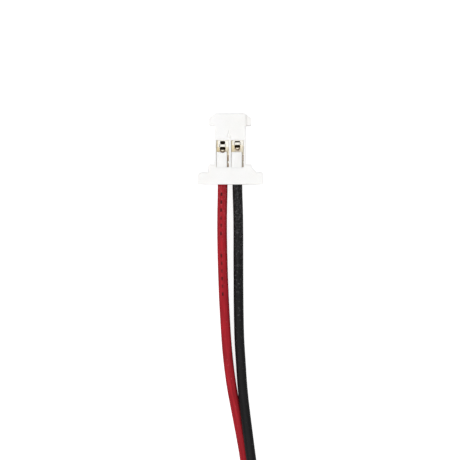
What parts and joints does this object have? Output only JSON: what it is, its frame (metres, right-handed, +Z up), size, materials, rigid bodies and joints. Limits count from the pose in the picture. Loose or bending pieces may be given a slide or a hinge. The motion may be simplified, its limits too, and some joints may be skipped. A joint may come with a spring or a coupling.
{
  "type": "lipo battery pack",
  "caption": "Flat single-cell pouch battery with a taped protection board, a red and a black lead, and a white crimp plug with two locking tongues.",
  "frame": {"origin": "centre of the underside of the pack's box, without the leads and plug", "axes": "+Y from the pack to the plug, +Z up through the pack's thickness, +X to the right seen from above"},
  "size_m": [0.02, 0.0775, 0.0051],
  "materials": {
    "pouch_foil": "satin nylon-faced aluminium laminate, slightly rippled",
    "cathode_coating": "matt black coated foil",
    "anode_coating": "matt dark grey coated foil",
    "separator_film": "white microporous film",
    "tab_aluminium": "rolled foil strip",
    "tab_nickel": "rolled nickel strip",
    "seal_film": "milky heat-seal film",
    "insulating_paper": "grey-green insulating paper",
    "board_laminate": "green solder mask on glass laminate",
    "chip_resin": "black moulded resin, tinned pins",
    "resistor_ceramic": "black glazed top",
    "capacitor_ceramic": "tan ceramic",
    "solder": "bright solder",
    "polyimide_tape": "amber translucent film, glossy",
    "paper_label": "plain white, matt",
    "red_insulation": "dull red extruded insulation, slightly rough",
    "black_insulation": "dull black extruded insulation, slightly rough",
    "tinned_copper": "tinned fine strands",
    "white_nylon": "natural white nylon, slightly translucent",
    "contact_bronze": "phosphor bronze with bright tin on top"
  },
  "bodies": {
    "pack": {"pouch_cup": "pouch_foil", "pouch_cover": "pouch_foil", "cathode_foil": "cathode_coating", "anode_foil": "anode_coating", "inner_separator": "separator_film", "outer_separator": "separator_film", "positive_tab": "tab_aluminium", "negative_tab": "tab_nickel", "positive_tab_film": "seal_film", "negative_tab_film": "seal_film", "positive_tab_pad": "tab_nickel", "negative_tab_pad": "tab_nickel", "board_insulator": "insulating_paper", "protection_board": "board_laminate", "protection_chip": "chip_resin", "switch_transistor": "chip_resin", "filter_resistor": "resistor_ceramic", "sense_resistor": "resistor_ceramic", "filter_capacitor": "capacitor_ceramic", "positive_solder_joint": "solder", "negative_solder_joint": "solder", "positive_board_strands": "tinned_copper", "negative_board_strands": "tinned_copper", "head_tape": "polyimide_tape", "plain_label": "paper_label", "red_lead": "red_insulation", "black_lead": "black_insulation", "connector_housing": "white_nylon", "positive_contact": "contact_bronze", "negative_contact": "contact_bronze", "positive_crimp_strands": "tinned_copper", "negative_crimp_strands": "tinned_copper"},
    "positive_tang": {"positive_locking_tang": "white_nylon"},
    "negative_tang": {"negative_locking_tang": "white_nylon"}
  },
  "joints": [
    {"name": "positive_tang_flex", "type": "hinge", "parent": "pack", "child": "positive_tang", "pos_m": [-0.004, 0.05666, 0.0021], "axis": [1, 0, 0], "range_deg": [0, 12], "stiffness_Nm_per_rad": 0.002},
    {"name": "negative_tang_flex", "type": "hinge", "parent": "pack", "child": "negative_tang", "pos_m": [-0.00275, 0.05666, 0.0021], "axis": [1, 0, 0], "range_deg": [0, 12], "stiffness_Nm_per_rad": 0.002}
  ]
}
